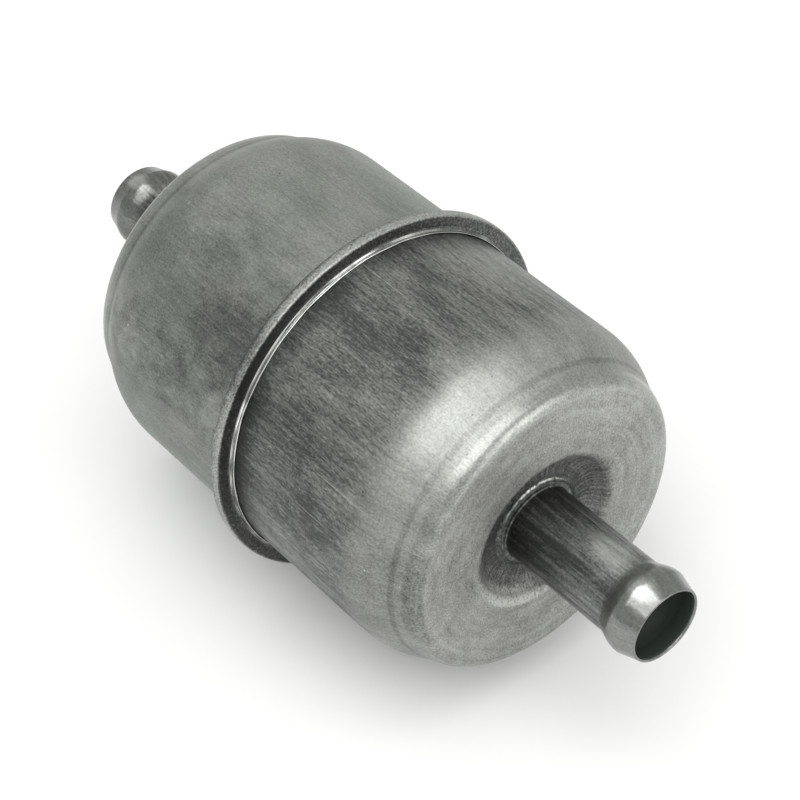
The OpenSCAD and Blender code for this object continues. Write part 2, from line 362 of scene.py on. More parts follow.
class ElementSettings(bpy.types.PropertyGroup):
    """Colours of the element's pieces"""

    paper: FloatVectorProperty(
        name="Paper", description="Colour of the filter paper", subtype="COLOR",
        size=4, min=0.0, max=1.0, default=(0.74, 0.58, 0.28, 1.0))
    resin: FloatVectorProperty(
        name="Resin", description="Colour of the potting resin", subtype="COLOR",
        size=4, min=0.0, max=1.0, default=(0.42, 0.12, 0.04, 1.0))
    rubber: FloatVectorProperty(
        name="Rubber", description="Colour of the seals", subtype="COLOR",
        size=4, min=0.0, max=1.0, default=(0.018, 0.018, 0.018, 1.0))


class StudioSettings(bpy.types.PropertyGroup):
    """Floor, lights and camera"""

    floor_colour: FloatVectorProperty(
        name="Floor", description="Colour of the floor", subtype="COLOR",
        size=4, min=0.0, max=1.0, default=(0.96, 0.96, 0.96, 1.0))
    sky: FloatProperty(
        name="Surround", description="Brightness of the studio's walls", default=0.79, min=0.0)
    key: FloatProperty(
        name="Key light", description="Power of the lamp overhead", default=1.85, min=0.0)
    fill: FloatProperty(
        name="Fill light", description="Power of the lamp beside the outlet", default=1.3, min=0.0)
    lens: FloatProperty(
        name="Lens", description="Focal length of the camera, mm", default=105.7, min=10.0)


# ---------------------------------------------------------------- outlines and meshes

def arc(centre, radius, start, stop, steps=12):
    """Points on an arc: centre + radius * (sin, cos) of an angle that runs from start to stop.
    Angle 0 points away from the axis, and 90 along +X."""
    turn = np.radians(np.linspace(start, stop, steps))
    return np.asarray(centre) + radius * np.column_stack((np.sin(turn), np.cos(turn)))


def mirrored(points):
    """The outline's mirror image in the seam plane, in the opposite order, so outside stays outside."""
    return np.asarray(points)[::-1] * (-1, 1)


def filled(points, gap, thinned=1):
    """A closed outline with points added along its lines, so no two are more than about gap apart.
    Away from the seam, only one in thinned of the added points stays."""
    loop = np.vstack((points, points[:1]))
    keep = np.r_[True, np.hypot(*np.diff(loop, axis=0).T) > 1e-5]
    loop = loop[keep]
    along = np.r_[0, np.cumsum(np.hypot(*np.diff(loop, axis=0).T))]
    added = np.arange(0, along[-1], gap)
    at_seam = np.abs(np.interp(added, along, loop[:, 0])) < SEAM_ZONE
    stops = np.union1d(along, added[at_seam | (np.arange(len(added)) % thinned == 0)])
    stops = stops[np.r_[True, np.diff(stops) > gap / 8]]
    stops = stops[stops < along[-1] - gap / 8]
    return np.column_stack([np.interp(stops, along, loop[:, axis]) for axis in (0, 1)])


def bump(value, low, high):
    """0 outside low to high, and rising to 1 in the middle: sin squared of the share of the way."""
    share = np.clip((value - low) / (high - low), 0, 1)
    return np.sin(np.pi * share) ** 2


def step(value, low, high):
    """0 below low, 1 above high, and 3t^2 - 2t^3 of the share t between."""
    share = np.clip((value - low) / (high - low), 0, 1)
    return share * share * (3 - 2 * share)


def ripple(along, angle, waves, drift, seed):
    """Mean over the wave numbers k of cos(k * angle + drift_k * along + phase_k), from -1 to 1.
    Each drift and phase comes from the seed, and drift_k is at most drift."""
    dice = np.random.default_rng(seed)
    total = np.zeros(np.broadcast(along, angle).shape)
    for wave in waves:
        total += np.cos(wave * angle + dice.uniform(-drift, drift) * along + dice.uniform(0, 2 * np.pi))
    return total / len(waves)


def signed_volume(points, corners):
    """Volume inside triangles of points: the sum of a . (b x c) / 6. It is negative if they face in."""
    a, b, c = (points[corners[:, k]] for k in range(3))
    return np.einsum("ij,ij->i", a, np.cross(b, c)).sum() / 6


def grid_mesh(name, points, closed_rows=True):
    """Closed mesh over a grid of points [row, column, xyz] in mm, whose columns close on themselves.
    The rows close too, or else a fan of triangles closes the first row and the last."""
    rows, columns = points.shape[:2]
    row = np.arange(rows if closed_rows else rows - 1)[:, None]
    column = np.arange(columns)
    after_row, after = (row + 1) % rows, (column + 1) % columns
    quads = np.stack((
        row * columns + column, row * columns + after,
        after_row * columns + after, after_row * columns + column), axis=-1).reshape(-1, 4)
    places = points.reshape(-1, 3)
    fans = np.zeros((0, 3), int)
    if not closed_rows:
        places = np.vstack((places, points[0].mean(axis=0), points[-1].mean(axis=0)))
        last, middle = (rows - 1) * columns, rows * columns
        fans = np.vstack((
            np.column_stack((after, column, np.full(columns, middle))),
            np.column_stack((last + column, last + after, np.full(columns, middle + 1)))))
    halves = np.vstack((quads[:, :3], quads[:, [0, 2, 3]], fans))
    if signed_volume(places, halves) < 0:
        quads, fans = quads[:, ::-1], fans[:, ::-1]
    corners = np.concatenate((quads.ravel(), fans.ravel())).astype(np.int32)
    starts = np.concatenate((4 * np.arange(len(quads)), quads.size + 3 * np.arange(len(fans))))
    mesh = bpy.data.meshes.new(name)
    mesh.vertices.add(len(places))
    mesh.vertices.foreach_set("co", (places * MM).astype(np.float32).ravel())
    mesh.loops.add(len(corners))
    mesh.loops.foreach_set("vertex_index", corners)
    mesh.polygons.add(len(starts))
    mesh.polygons.foreach_set("loop_start", starts.astype(np.int32))
    mesh.polygons.foreach_set("use_smooth", np.ones(len(starts), bool))
    mesh.update(calc_edges=True)
    piece = bpy.data.objects.new(name, mesh)
    bpy.context.scene.collection.objects.link(piece)
    return piece


def turned(name, outline, steps, shift=None):
    """Surface of revolution of a closed outline of (x, r) about the X axis.
    A point at angle a goes to (x, -r sin a, r cos a). shift(x, r, a) gives what is added to x and r."""
    angle = np.linspace(0, 2 * np.pi, steps, endpoint=False)[None, :]
    x, r = outline[:, :1], outline[:, 1:]
    moved_x, moved_r = shift(x, r, angle) if shift else (0, 0)
    x, r = x + moved_x + 0 * angle, r + moved_r + 0 * angle
    return grid_mesh(name, np.stack((x, -r * np.sin(angle), r * np.cos(angle)), axis=-1))


def cup_wall(inset):
    """One side of a cup's sheet, from the wall's root to the tube's hole, moved in by inset:
    a wide bend, a hollow, a short cone, a tight bend, the flat face, then the dimple's lip and bowl."""
    first = np.array((FIRST_BEND_X, BODY_R - FIRST_BEND_R))
    turn, cone = np.radians(FIRST_BEND_ANGLE), np.radians(CONE_ANGLE)
    hollow = first + (FIRST_BEND_R + HOLLOW_R) * np.array((np.sin(turn), np.cos(turn)))
    outward = np.array((np.sin(cone), np.cos(cone)))
    down = np.array((np.cos(cone), -np.sin(cone)))
    cone_start = hollow - HOLLOW_R * outward
    run = (FACE_X - SECOND_BEND_R * (1 - outward[0]) - cone_start[0]) / down[0]
    second = cone_start + run * down - SECOND_BEND_R * outward
    lip = (FACE_X - DIMPLE_LIP_R, DIMPLE_R)
    bowl = (FLOOR_X + BOWL_R, DIMPLE_R - (DIMPLE_LIP_R + BOWL_R) * np.sin(np.radians(DIMPLE_TURN)))
    return np.vstack((
        arc(first, FIRST_BEND_R - inset, 0, FIRST_BEND_ANGLE, 24),
        arc(hollow, -(HOLLOW_R + inset), FIRST_BEND_ANGLE, CONE_ANGLE, 8),
        arc(second, SECOND_BEND_R - inset, CONE_ANGLE, 90, 20),
        arc(lip, DIMPLE_LIP_R - inset, 90, 90 + DIMPLE_TURN, 16),
        arc(bowl, -(BOWL_R + inset), 90 + DIMPLE_TURN, 90, 16),
        [(FLOOR_X - inset, TUBE_R)],
    ))


def outlet_cup_outline():
    """The outlet cup: a plain flange, a root fillet and the wall."""
    root = (LIP_X + ROOT_BEND_R, ROOT_R)
    return np.vstack((
        [(LIP_X, FOLD_R)],
        arc(root, ROOT_BEND_R, 270, 180),
        cup_wall(0),
        cup_wall(SHEET_T)[::-1],
        arc(root, ROOT_BEND_R + SHEET_T, 180, 270),
        [(OUTLET_FLANGE_X, FOLD_R)],
    ))


def inlet_cup_outline():
    """The inlet cup: its flange folds over the outlet cup's flange and ends in a cut edge."""
    root = (SEAM_HALF + ROOT_BEND_R, ROOT_R)
    under_r = BODY_R + FOOT_GAP
    lower = (-SEAM_HALF - FOOT_LENGTH + LOWER_RIDGE_R, under_r + LOWER_RIDGE_R)
    upper = (-SEAM_HALF - UPPER_RIDGE_OUT, LIP_R - UPPER_RIDGE_R)
    return mirrored(np.vstack((
        [(-LIP_X, LIP_R), (-LIP_X - LIP_BACK_T, LIP_R), (-SEAM_HALF, under_r)],
        arc(lower, LOWER_RIDGE_R, -180, 60, 9),
        [(-SEAM_HALF - GROOVE_OUT, under_r + FOOT_T)],
        arc(upper, UPPER_RIDGE_R, -150, -20, 5),
        [(-SEAM_HALF, LIP_R + LIP_FLAT)],
        arc((-SEAM_HALF + FOLD_CORNER_R, RIM_R - FOLD_CORNER_R), FOLD_CORNER_R, -90, 0, 10),
        arc((0, FOLD_R), SEAM_HALF, 0, 90, 16),
        arc(root, ROOT_BEND_R, 270, 180),
        cup_wall(0),
        cup_wall(SHEET_T)[::-1],
        arc(root, ROOT_BEND_R + SHEET_T, 180, 270),
        arc((0, FOLD_R), SEAM_HALF - SHEET_T, 90, -90, 20),
    )))


def tube_outline():
    """The outlet tube: a spigot, a collar each side of the cup's floor, the plain tube and its bead."""
    inner_r = TUBE_R - TUBE_WALL
    inner_collar_x = SPIGOT_X + INNER_COLLAR_T
    rise = np.linspace(0, 1, 16)
    rise_x = RISE_X + rise * (BEAD_X - CREST_HALF - RISE_X)
    swell = (BEAD_R - TUBE_R) * (1 - np.cos(np.pi * rise)) / 2
    outer_rise = np.column_stack((rise_x, TUBE_R + swell))
    inner_rise = np.column_stack((rise_x, inner_r + swell))
    fall_x, fall_r = MOUTH_X - MOUTH_CORNER_R, MOUTH_R
    fall = np.linspace(0, 1, 12)
    drop = (1 - FALL_BULGE) * fall + FALL_BULGE * np.sin(np.pi * fall / 2)
    sweep = BEAD_R - (BEAD_R - fall_r) * drop
    outer_fall = np.column_stack((BEAD_X + CREST_HALF + fall * (fall_x - BEAD_X - CREST_HALF), sweep))
    mouth = (fall_x, fall_r - MOUTH_CORNER_R)
    inner_mouth_r = MOUTH_R - MOUTH_WALL
    return np.vstack((
        [(SPIGOT_X, inner_r), (SPIGOT_X, TUBE_R), (inner_collar_x, TUBE_R), (inner_collar_x, COLLAR_R)],
        [(FLOOR_X - SHEET_T, COLLAR_R), (FLOOR_X - SHEET_T, TUBE_R), (FLOOR_X, TUBE_R), (FLOOR_X, COLLAR_R)],
        arc((FLOOR_X + COLLAR_T - COLLAR_CORNER_R, COLLAR_R - COLLAR_CORNER_R), COLLAR_CORNER_R, 0, 90, 6),
        arc((FLOOR_X + COLLAR_T + COLLAR_FILLET_R, TUBE_R + COLLAR_FILLET_R), COLLAR_FILLET_R, 270, 180, 6),
        outer_rise,
        outer_fall,
        arc(mouth, MOUTH_CORNER_R, 10, 150, 8),
        [(MOUTH_X - MOUTH_DEPTH, inner_mouth_r), (BEAD_X + CREST_HALF, BEAD_R - TUBE_WALL)],
        inner_rise[::-1],
    ))


def braze_outline():
    """The fillet of braze round the tube's collar."""
    rise = np.linspace(0, 1, 12)
    fillet = np.column_stack((
        FLOOR_X + BRAZE_T * (1 - rise) ** BRAZE_HOLLOWNESS, COLLAR_R + (BRAZE_R - COLLAR_R) * rise))[::-1]
    return np.vstack(([(FLOOR_X, COLLAR_R)], fillet))[::-1]


# ---------------------------------------------------------------- shader wiring

class Wire:
    """A node's output. Arithmetic on it adds Math nodes, and node() adds any other node."""

    def __init__(self, tree, socket=None):
        self.tree = tree
        self.socket = socket

    def node(self, kind, inputs=(), settings=(), output=0):
        """Adds a node, sets its settings first and then the values or links of its sockets."""
        made = self.tree.nodes.new(kind)
        for name, value in dict(settings).items():
            setattr(made, name, value)
        for name, value in dict(inputs).items():
            if isinstance(value, Wire):
                self.tree.links.new(value.socket, made.inputs[name])
            else:
                made.inputs[name].default_value = value
        return Wire(self.tree, made.outputs[output])

    def maths(self, operation, first, second=0.0):
        return self.node("ShaderNodeMath", {0: first, 1: second}, {"operation": operation})

    def __add__(self, other):
        return self.maths("ADD", self, other)

    def __radd__(self, other):
        return self.maths("ADD", other, self)

    def __sub__(self, other):
        return self.maths("SUBTRACT", self, other)

    def __rsub__(self, other):
        return self.maths("SUBTRACT", other, self)

    def __mul__(self, other):
        return self.maths("MULTIPLY", self, other)

    def __rmul__(self, other):
        return self.maths("MULTIPLY", other, self)

    def __truediv__(self, other):
        return self.maths("DIVIDE", self, other)

    def __rtruediv__(self, other):
        return self.maths("DIVIDE", other, self)

    def __pow__(self, other):
        return self.maths("POWER", self, other)

    def __abs__(self):
        return self.maths("ABSOLUTE", self)

    def at_least(self, other):
        return self.maths("MAXIMUM", self, other)

    def at_most(self, other):
        return self.maths("MINIMUM", self, other)

    def soft_floor(self, bend):
        """The value t, kept above 0 without a corner there: (t + sqrt(t^2 + bend)) / 2."""
        return (self + (self * self + bend) ** 0.5) * 0.5

    def fade(self, low, high):
        """0 at low and 1 at high, smoothly between. low may be above high."""
        return self.node(
            "ShaderNodeMapRange", {"Value": self, "From Min": low, "From Max": high},
            {"interpolation_type": "SMOOTHSTEP"})

    def blend(self, start, end):
        """A colour that goes from start to end as this value goes from 0 to 1."""
        return self.node("ShaderNodeMix", {0: self, 6: start, 7: end}, {"data_type": "RGBA"}, output=2)


class Turned:
    """Places on a turned piece, in mm: x, the radius r, the way round the axis, and along, which grows
    with |x| and towards the axis, so that it follows the outline from the seam to the tube."""

    def __init__(self, tree):
        here = Wire(tree)
        place = here.node("ShaderNodeTexCoord", output=3)
        self.place = here.node(
            "ShaderNodeVectorMath", {0: place, "Scale": 1 / MM}, {"operation": "SCALE"})
        self.x = here.node("ShaderNodeSeparateXYZ", {0: self.place}, output=0)
        y = here.node("ShaderNodeSeparateXYZ", {0: self.place}, output=1)
        z = here.node("ShaderNodeSeparateXYZ", {0: self.place}, output=2)
        self.r = ((y * y + z * z) ** 0.5).at_least(0.01)
        self.side = y / self.r
        self.up = z / self.r
        self.along = abs(self.x) - self.r

    def noise(self, vector, scale=1.0, detail=2.0):
        """Noise of about 0.5, at a vector."""
        return vector.node("ShaderNodeTexNoise", {"Vector": vector, "Scale": scale, "Detail": detail})

    def streaks(self, width, length, radius, seed, detail=2.0):
        """Noise drawn out along the outline: width is measured round the axis at that radius."""
        vector = self.x.node("ShaderNodeCombineXYZ", {
            0: self.along / length + seed, 1: self.side * (radius / width), 2: self.up * (radius / width)})
        return self.noise(vector, detail=detail)

    def clouds(self, size, seed, detail=3.0):
        """Noise with no direction."""
        vector = self.x.node(
            "ShaderNodeVectorMath", {0: self.place, 1: (seed, seed, seed)}, {"operation": "ADD"})
        return self.noise(vector, scale=1 / size, detail=detail)

    def rings(self, width, seed):
        """Noise in rings about the axis, which changes only slowly round it."""
        vector = self.x.node("ShaderNodeCombineXYZ", {
            0: self.along / width + seed, 1: self.side * RING_DRIFT, 2: self.up * RING_DRIFT})
        return self.noise(vector)

    def specks(self, size, share, seed):
        """Small round dots: 1 in a dot. size is the spacing in mm, and share is a dot's part of it."""
        vector = self.x.node(
            "ShaderNodeVectorMath", {0: self.place, 1: (seed, -seed, seed)}, {"operation": "ADD"})
        distance = vector.node("ShaderNodeTexVoronoi", {"Vector": vector, "Scale": 1 / size})
        return distance.fade(share, share * 0.5)

    def smudge(self, x, angle, length, width, seed):
        """A ragged spot centred at x and an angle round the axis: length is half its size along the
        axis in mm, and width half its size round it in degrees."""
        turn = np.radians(angle)
        toward = self.side * -np.sin(turn) + self.up * np.cos(turn)
        away = toward.maths("ARCCOSINE", toward.at_most(1.0)) * (1 / np.radians(width))
        distance = (((self.x - x) / length) ** 2.0 + away * away) ** 0.5
        ragged = distance + (self.clouds(RAGGED_SIZE, seed) - 0.5) * RAGGED
        return ragged.fade(*SPOT_EDGE)


def shaded(colour, share):
    """A colour made lighter or darker: each part times share, and at most 1."""
    return tuple(min(1.0, share * part) for part in colour[:3]) + (1.0,)


def new_material(name):
    """An empty node material and its tree."""
    material = bpy.data.materials.new(name)
    material.use_nodes = True
    material.node_tree.nodes.clear()
    return material, material.node_tree


def close(tree, links, constants, height=None, lift=0.0):
    """Ends a tree in a Principled shader. links vary over the surface and constants don't. height is
    a Wire from 0 to 1 that stands lift mm high."""
    here = Wire(tree)
    if height is not None:
        links = {**links, "Normal": here.node(
            "ShaderNodeBump", {"Height": height, "Distance": lift * MM, "Strength": 1.0})}
    surface = here.node("ShaderNodeBsdfPrincipled", {**constants, **links})
    tree.links.new(surface.socket, tree.nodes.new("ShaderNodeOutputMaterial").inputs["Surface"])


# ---------------------------------------------------------------- finishes

def cup_steel(name, casing, clean, streak, grit, green, smudges_and_painted_light, folded, seed):
    """Plated sheet steel, drawn into a cup. Short needle-like draw marks run along the wall, the
    shoulder is burnished, the end face keeps the sheet's own grain and the dimple is dull. Painted shade
    darkens the shoulder's hollow and the underside of the tight bend, and a painted highlight lightens
    the lower side of the dimple's lip. clean is how light the wall is, streak, grit and green are how
    strong the draw marks, the grain and the green cast are, the spots are dirt and painted shade and
    light, and folded says that the cup has the lip that is folded over the other's flange."""
    material, tree = new_material(name)
    at = Turned(tree)
    far = abs(at.x)
    on_face = at.r.fade(*ON_FACE_R)
    on_fold = at.r.fade(*ON_FOLD_R)
    on_shoulder = far.fade(*ON_SHOULDER_X) * (1 - on_face)
    on_wall = (1 - on_face) * (1 - on_fold) * (1 - on_shoulder * 0.55)
    needles = at.streaks(*NEEDLES, BODY_R, seed, detail=3.0) - 0.5
    lines = at.streaks(*DRAW_LINES, BODY_R, seed + 11, detail=3.0) - 0.5
    patches = at.streaks(*PATCHES, BODY_R, seed + 23) - 0.5
    grain = at.clouds(GRAIN_SIZE, seed + 41) - 0.5
    mottle = at.clouds(MOTTLE_SIZE, seed + 43) - 0.5
    bloom = at.clouds(BLOOM_SIZE, seed + 47) - 0.5
    rings = at.rings(RING_WIDTH, seed + 37) - 0.5
    tone = (
        clean + on_shoulder * (SHOULDER_TONE - clean) + on_face * (FACE_TONE - clean)
        + on_wall * (needles * (1.2 * streak) + lines * (0.75 * streak) + patches * (0.75 * streak))
        + on_face * (mottle * 0.4 + rings * 0.5 - at.r.fade(*FACE_SHADE_R) * 0.08)
        + grain * (grit + on_face * 0.35) + bloom * 0.2)
    # dirt, and painted shade and light, from the spot table
    for *spot, depth in smudges_and_painted_light:
        tone = tone - at.smudge(*spot, seed) * depth
    if not folded:
        tone = tone - far.fade(*SEAM_SHADE_X) * 0.2
    # painted shade in the shoulder's hollow and on the underside of the tight bend
    hollow_ring = far.fade(*HOLLOW_START_X) * far.fade(*HOLLOW_END_X) * (1 - on_face)
    bend_ring = far.fade(*BEND_X) * at.r.fade(*BEND_R)
    tone = tone - hollow_ring * 0.16 - bend_ring * at.smudge(*LOW_BEND, seed) * 0.2
    bowl_marks = at.streaks(*BOWL_MARKS, BOWL_MARKS_R, seed + 71) - 0.5
    tone = tone - at.r.fade(*DIMPLE_SHADE_R) * (0.2 + bowl_marks * 0.8) - at.r.fade(*ROOT_SHADE_R) * 0.38
    # painted highlight, grainy, on the lower side of the dimple's lip
    crescent = at.smudge(*CRESCENT, seed) * at.r.fade(*CRESCENT_INNER_R) * at.r.fade(*CRESCENT_OUTER_R)
    tone = tone + crescent * (0.62 + grain * 1.6)
    tone = tone - at.specks(*DARK_SPECKS, seed) * 0.4
    tone = tone + at.specks(*LIGHT_SPECKS, seed + 5) * 0.6
    scratches = at.streaks(*SCRATCHES, BODY_R, seed + 61, detail=0.0).fade(*SCRATCH_CUT)
    tone = tone + scratches * on_wall * (0.6 * streak)
    rough = CUP_ROUGHNESS - tone * 0.08 + lines * 0.1 + grain * 0.1 + on_face * 0.1 - bend_ring * 0.2
    if folded:
        lip_tone, lip_rough, bare_and_highlight = folded_lip(at, on_fold, grain, seed)
        tone = tone + lip_tone
        rough = rough + lip_rough
    tone = tone.soft_floor(TONE_BEND)
    cast = at.clouds(CAST_SIZE, seed + 53).fade(*CAST_CUT) * green * (1 - on_face) * (1 - on_fold)
    colour = cast.blend(
        tone.blend(casing.dark_steel, casing.light_steel), tone.blend(casing.dark_steel, casing.green_steel))
    if folded:
        # bare metal on the rubbed edge, with its painted highlight
        colour = bare_and_highlight.blend(colour, casing.bare_edge)
    height = on_wall * (needles + lines * 0.5) + grain * (0.4 + on_face * 0.5) + 0.5
    close(tree, {"Base Color": colour, "Roughness": rough.at_least(LEAST_ROUGHNESS)}, {"Metallic": 1.0},
          height, lift=0.025)
    return material


def folded_lip(at, on_fold, grain, seed):
    """What the folded lip adds to the tone and to the roughness, and where its edge is rubbed bare and
    lit by a painted highlight. The crown has a painted highlight in front and painted shade behind, the
    lip's face has painted shade and the foot is smooth."""
    lip_face = on_fold * at.x.fade(*LIP_FACE_X)
    foot = at.r.fade(*FOOT_R) * at.x.fade(*FOOT_X)
    ridges = at.x.fade(*LOWER_RIDGE_X) + at.x.fade(*UPPER_RIDGE_X)
    rubbed = at.streaks(*RUBBED_PLACES, BODY_R, seed + 83, detail=3.0).fade(*RUBBED_CUT)
    # bare metal where the edge is rubbed, full only on the side where its painted highlight falls
    bare_and_highlight = foot * ridges * rubbed * (at.smudge(*BRIGHT_EDGE, seed) * 0.9 + 0.1)
    crown = at.r.fade(*CROWN_R) * at.x.fade(*CROWN_FRONT_X)
    behind = on_fold * at.x.fade(*FOLD_BACK_X)
    # painted highlight on the crown's front, painted shade behind the fold and on the lip's face
    tone = on_fold * (grain - 0.08) - lip_face * 0.42 - behind * 0.4 + crown * 0.28
    return tone, foot * -0.27, bare_and_highlight


def tube_finish(name, tube, clean, seed):
    """Drawn tube: dark draw lines and stains along it, darker towards the root, a cleaner bead with
    painted shade in the crease behind it, painted highlights on the tube's top and on the bead, and an
    oxidised bore. clean is how light the plain tube is."""
    material, tree = new_material(name)
    at = Turned(tree)
    at.x = abs(at.x)
    on_bead = at.x.fade(*ON_BEAD_X)
    crease = at.x.fade(*CREASE_START_X) * at.x.fade(*CREASE_END_X)
    lines = at.streaks(*TUBE_LINES, TUBE_R, seed, detail=4.0) - 0.5
    scuffs = at.streaks(*TUBE_SCUFFS, TUBE_R, seed + 7) - 0.5
    grain = at.clouds(TUBE_GRAIN_SIZE, seed + 17) - 0.5
    # crease is painted shade in the crease behind the bead
    tone = (
        clean + (1 - on_bead * 0.7) * (lines * 1.3 + scuffs * 0.6) - at.x.fade(*ROOT_DARKENING_X) * 0.26
        - crease * 0.1 + grain * (0.7 - on_bead * 0.25) + on_bead * 0.07
        - at.specks(*TUBE_SPECKS, seed) * 0.4)
    # dirt, and painted highlights on the tube's top and on the bead
    for *spot, depth in TUBE_SMUDGES_AND_HIGHLIGHTS:
        tone = tone - at.smudge(*spot, seed) * depth
    outside_r = (
        TUBE_R + (BEAD_R - TUBE_R) * at.x.fade(RISE_X, BEAD_X - CREST_HALF)
        - (BEAD_R - MOUTH_R) * at.x.fade(BEAD_X + CREST_HALF, MOUTH_X))
    bore = (at.r - outside_r).fade(*BORE_DEPTH) * at.x.fade(*BORE_X)
    steel = tone.soft_floor(TUBE_TONE_BEND).blend(tube.tube_dark, tube.tube_steel)
    rough = TUBE_ROUGHNESS - tone * 0.1 - on_bead * 0.17 + grain * 0.12 + bore * 0.25
    height = (1 - on_bead) * (lines + scuffs * 0.6) + grain * 0.5 + 0.5
    varied = {
        "Base Color": bore.blend(steel, BORE_COLOUR), "Roughness": rough.at_least(LEAST_ROUGHNESS),
        "Metallic": 1 - bore * 0.85}
    close(tree, varied, {}, height, lift=0.015)
    return material


def braze_finish(name, tube, seed):
    """Braze metal: stained dark by the flux, slightly lumpy, and bare along a thin line."""
    material, tree = new_material(name)
    at = Turned(tree)
    lumps = at.clouds(0.7, seed)
    grain = at.clouds(0.2, seed + 3) - 0.5
    bare = at.r.fade(*BARE_INNER_R) * at.r.fade(*BARE_OUTER_R) * at.smudge(*BARE_BRAZE, seed)
    tone = 0.04 + (lumps - 0.5) * 0.4 + grain * 0.4 + bare * (lumps * 2.6 - 0.9)
    rough = 0.4 - bare * 0.12
    close(tree, {"Base Color": tone.blend(tube.tube_dark, BRAZE_COLOUR), "Roughness": rough},
          {"Metallic": 1.0}, lumps * 0.7 + grain * 0.4 + 0.3, lift=0.05)
    return material


def tinned_finish(name, seed):
    """Tinned sheet of the element's caps, core and clip: bright with faint rings and blooms."""
    material, tree = new_material(name)
    at = Turned(tree)
    rings = at.rings(0.35, seed) - 0.5
    bloom = at.clouds(3.0, seed + 3) - 0.5
    grain = at.clouds(0.3, seed + 9) - 0.5
    tone = 0.7 + rings * 0.5 + bloom * 0.7 + grain * 0.3
    close(tree, {"Base Color": tone.blend(TIN_DARK, TIN_LIGHT), "Roughness": 0.3 + bloom * 0.15},
          {"Metallic": 1.0}, rings + grain * 0.5 + 0.5, lift=0.01)
    return material


def spring_finish(name, seed):
    """Drawn spring wire: dark, oiled, with a slight brown cast."""
    material, tree = new_material(name)
    at = Turned(tree)
    bloom = at.clouds(1.5, seed) - 0.5
    grain = at.clouds(0.25, seed + 3) - 0.5
    tone = 0.5 + bloom + grain * 0.6
    close(tree, {"Base Color": tone.blend(WIRE_DARK, WIRE_LIGHT), "Roughness": 0.32 + bloom * 0.2},
          {"Metallic": 1.0}, grain + 0.5, lift=0.01)
    return material


def paper_finish(name, element, seed):
    """Resin-treated filter paper: a soft fibre mat with darker and lighter fibres."""
    material, tree = new_material(name)
    at = Turned(tree)
    fibres = at.clouds(0.22, seed, detail=6.0) - 0.5
    mottle = at.clouds(2.4, seed + 3) - 0.5
    tone = 0.5 + fibres * 1.1 + mottle * 0.9
    colour = tone.blend(shaded(element.paper, 0.7), shaded(element.paper, 1.25))
    close(tree, {"Base Color": colour, "Roughness": 0.82 + fibres * 0.1},
          {"Metallic": 0.0}, fibres + 0.5, lift=0.05)
    return material


def resin_finish(name, element, seed):
    """Cured potting resin: glossy, with a few bubbles and cloudy places."""
    material, tree = new_material(name)
    at = Turned(tree)
    cloud = at.clouds(2.0, seed) - 0.5
    bubbles = at.specks(1.1, 0.2, seed)
    tone = 0.5 + cloud * 1.4 - bubbles * 0.4
    colour = tone.blend(shaded(element.resin, 0.55), tuple(element.resin))
    close(tree, {"Base Color": colour, "Roughness": 0.3 + cloud * 0.2},
          {"Metallic": 0.0}, cloud * 0.5 - bubbles * 0.4 + 0.6, lift=0.1)
    return material


def rubber_finish(name, element, seed):
    """Moulded rubber: matt, with a faint bloom and fine grain."""
    material, tree = new_material(name)
    at = Turned(tree)
    bloom = at.clouds(1.8, seed)
    grain = at.clouds(0.12, seed + 3) - 0.5
    colour = (bloom.fade(0.4, 0.75) * 0.6).blend(tuple(element.rubber), RUBBER_BLOOM)
    close(tree, {"Base Color": colour, "Roughness": 0.62 + bloom * 0.15},
          {"Metallic": 0.0}, grain + 0.5, lift=0.02)
    return material


def dress(piece, material):
    """Gives a piece, new or from the frame, one material."""
    piece.data.materials.clear()
    piece.data.materials.append(material)


# ---------------------------------------------------------------- pieces

def add_cup(name, node, outline, shift, steps, material):
    """A drawn cup that stands for its CAD node."""
    cup = turned(name, filled(outline, CUP_GAP, CUP_THINNED), steps, shift)
    dress(cup, material)
    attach(cup, "casing")
    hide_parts(node)


def cup_shift(casing, seed):
    """How a cup strays from round: a slight oval, ripples on the shoulder and a wavy end face."""
    def shift(x, r, angle):
        far = np.abs(x)
        oval = OVAL * step(far, *OVAL_X) * ripple(far, angle, (2, 3), 0.1, seed)
        shoulder = casing.shoulder_ripple * bump(far, *DRAW_RIPPLE_X) * step(r, *DRAW_RIPPLE_R)
        draw = shoulder * ripple(far, angle, (5, 7, 11, 13, 19), 1.2, seed + 1)
        face = casing.face_sag * step(r, *FACE_WAVE_OUTER_R) * step(r, *FACE_WAVE_INNER_R)
        wave = face * ripple(r, angle, (1, 2, 3, 5), 0.5, seed + 2)
        bowl = BOWL_WAVE * bump(r, *BOWL_WAVE_R) * ripple(r, angle, (4, 6, 9), 1.5, seed + 3)
        return np.sign(x) * (wave + bowl - DRAW_RIPPLE_LEAN * draw), oval + draw
    return shift


class FUELFILTER_OT_outlet_cup(bpy.types.Operator):
    """Builds the outlet cup, the front half of the casing"""

    bl_idname = "fuelfilter.outlet_cup"
    bl_label = "Outlet cup"

    def execute(self, context):
        casing = context.scene.filter_casing
        steel = cup_steel(
            "outlet_cup_steel", casing, clean=0.29, streak=1.0, grit=0.75, green=0.35,
            smudges_and_painted_light=OUTLET_SMUDGES_AND_PAINTED_LIGHT, folded=False, seed=3.0)
        add_cup("outlet_cup", "outlet_shell", outlet_cup_outline(), cup_shift(casing, 5),
                casing.steps_round, steel)
        return {"FINISHED"}


